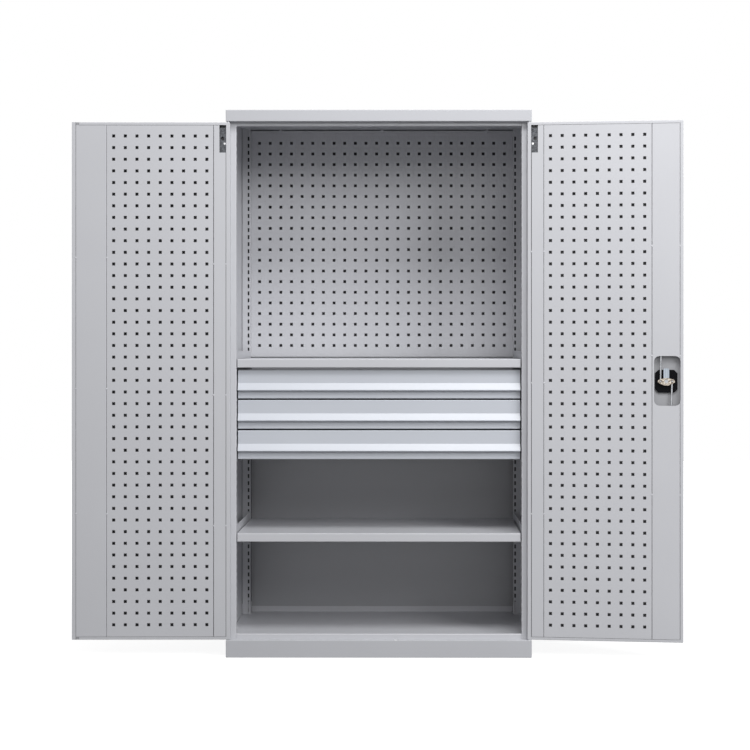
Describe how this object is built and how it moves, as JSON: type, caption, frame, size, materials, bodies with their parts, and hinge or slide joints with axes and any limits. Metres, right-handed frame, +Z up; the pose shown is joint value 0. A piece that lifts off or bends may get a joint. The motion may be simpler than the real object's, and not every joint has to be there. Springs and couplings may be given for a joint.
{
  "type": "tool cabinet with doors",
  "caption": "Tall sheet-steel tool cabinet: two swing doors and a rear panel with square perforations, full-width drawers, a shelf and a rod lock.",
  "frame": {"origin": "centre of the footprint, on the floor", "axes": "+X to the right seen from the front, +Y to the back, +Z up; both doors stand open"},
  "size_m": [1.9894, 0.5506, 1.79],
  "materials": {
    "light_grey_coat": "fine textured powder coat, satin",
    "plinth_coat": "fine textured powder coat, satin",
    "slide_zinc": "bright zinc",
    "bright_zinc": "bright zinc",
    "bracket_zinc": "dull zinc",
    "black_plastic": "fine matt"
  },
  "bodies": {
    "cabinet": {"plinth": "plinth_coat", "floor_pan": "light_grey_coat", "left_side_panel": "light_grey_coat", "right_side_panel": "light_grey_coat", "back_panel": "light_grey_coat", "top_cap": "light_grey_coat", "header_rail": "light_grey_coat", "left_front_post": "light_grey_coat", "right_front_post": "light_grey_coat", "left_rear_post": "light_grey_coat", "right_rear_post": "light_grey_coat", "rear_perforated_panel": "light_grey_coat", "adjustable_shelf": "light_grey_coat", "drawer_cover_shelf": "light_grey_coat", "left_shelf_support": "light_grey_coat", "right_shelf_support": "light_grey_coat", "left_cover_support": "light_grey_coat", "right_cover_support": "light_grey_coat", "left_slide_plate": "light_grey_coat", "right_slide_plate": "light_grey_coat", "drawer_1_outer_slides": "slide_zinc", "drawer_2_outer_slides": "slide_zinc", "drawer_3_outer_slides": "slide_zinc", "pivot_washers": "bright_zinc"},
    "drawer_1_middle_members": {"drawer_1_middle_slides": "slide_zinc"},
    "drawer_1": {"drawer_1_inner_slides": "slide_zinc", "drawer_1_tray": "light_grey_coat", "drawer_1_front": "light_grey_coat"},
    "drawer_2_middle_members": {"drawer_2_middle_slides": "slide_zinc"},
    "drawer_2": {"drawer_2_inner_slides": "slide_zinc", "drawer_2_tray": "light_grey_coat", "drawer_2_front": "light_grey_coat"},
    "drawer_3_middle_members": {"drawer_3_middle_slides": "slide_zinc"},
    "drawer_3": {"drawer_3_inner_slides": "slide_zinc", "drawer_3_tray": "light_grey_coat", "drawer_3_front": "light_grey_coat"},
    "left_door": {"left_door_pan": "light_grey_coat", "left_hinge_stile": "light_grey_coat", "left_perforated_sheet": "light_grey_coat", "left_overlap_stile": "light_grey_coat", "left_hinge_brackets": "bracket_zinc", "left_pivot_pins": "bright_zinc", "left_hinge_screw": "bright_zinc"},
    "right_door": {"right_door_pan": "light_grey_coat", "right_hinge_stile": "light_grey_coat", "right_perforated_sheet": "light_grey_coat", "right_lock_stile": "light_grey_coat", "right_hinge_brackets": "bracket_zinc", "right_pivot_pins": "bright_zinc", "right_hinge_screw": "bright_zinc", "rod_guides": "bright_zinc", "lock_housing": "black_plastic", "lock_backplate": "black_plastic"},
    "lock": {"lock_handle": "black_plastic", "lock_cam": "bright_zinc", "cam_screw": "bright_zinc"},
    "key": {"key_cylinder": "bright_zinc"},
    "upper_rod": {"upper_lock_rod": "bright_zinc"},
    "lower_rod": {"lower_lock_rod": "bright_zinc"}
  },
  "joints": [
    {"name": "left_door_swing", "type": "hinge", "parent": "cabinet", "child": "left_door", "pos_m": [-0.493, -0.24, 0.904], "axis": [0, 0, -1], "range_deg": [-179.4, 0.6]},
    {"name": "right_door_swing", "type": "hinge", "parent": "cabinet", "child": "right_door", "pos_m": [0.493, -0.24, 0.904], "axis": [0, 0, 1], "range_deg": [-173.85, 6.15]},
    {"name": "lock_turn", "type": "hinge", "parent": "right_door", "child": "lock", "pos_m": [0.93246, -0.28735, 0.904], "axis": [-0.1071, -0.9942, 0], "range_deg": [-90, 0]},
    {"name": "key_turn", "type": "hinge", "parent": "lock", "child": "key", "pos_m": [0.93396, -0.27343, 0.904], "axis": [-0.1071, -0.9942, 0], "range_deg": [0, 90]},
    {"name": "upper_rod_turn", "type": "hinge", "parent": "lock", "child": "upper_rod", "pos_m": [0.91405, -0.28547, 0.904], "axis": [-0.1071, -0.9942, 0], "range_deg": [0, 91.26]},
    {"name": "lower_rod_turn", "type": "hinge", "parent": "lock", "child": "lower_rod", "pos_m": [0.95084, -0.28943, 0.904], "axis": [-0.1071, -0.9942, 0], "range_deg": [0, 91.25]},
    {"name": "drawer_1_slide", "type": "slide", "parent": "cabinet", "child": "drawer_1", "axis": [0, -1, 0], "range_m": [0, 0.4]},
    {"name": "drawer_1_middle_slide", "type": "slide", "parent": "cabinet", "child": "drawer_1_middle_members", "axis": [0, -1, 0], "range_m": [0, 0.2]},
    {"name": "drawer_2_slide", "type": "slide", "parent": "cabinet", "child": "drawer_2", "axis": [0, -1, 0], "range_m": [0, 0.4]},
    {"name": "drawer_2_middle_slide", "type": "slide", "parent": "cabinet", "child": "drawer_2_middle_members", "axis": [0, -1, 0], "range_m": [0, 0.2]},
    {"name": "drawer_3_slide", "type": "slide", "parent": "cabinet", "child": "drawer_3", "axis": [0, -1, 0], "range_m": [0, 0.4]},
    {"name": "drawer_3_middle_slide", "type": "slide", "parent": "cabinet", "child": "drawer_3_middle_members", "axis": [0, -1, 0], "range_m": [0, 0.2]}
  ],
  "couplings": [
    {"joint": "upper_rod_turn", "follows": "lock_turn", "ratio": -1.014},
    {"joint": "lower_rod_turn", "follows": "lock_turn", "ratio": -1.0138},
    {"joint": "drawer_1_middle_slide", "follows": "drawer_1_slide", "ratio": 0.5},
    {"joint": "drawer_2_middle_slide", "follows": "drawer_2_slide", "ratio": 0.5},
    {"joint": "drawer_3_middle_slide", "follows": "drawer_3_slide", "ratio": 0.5}
  ]
}
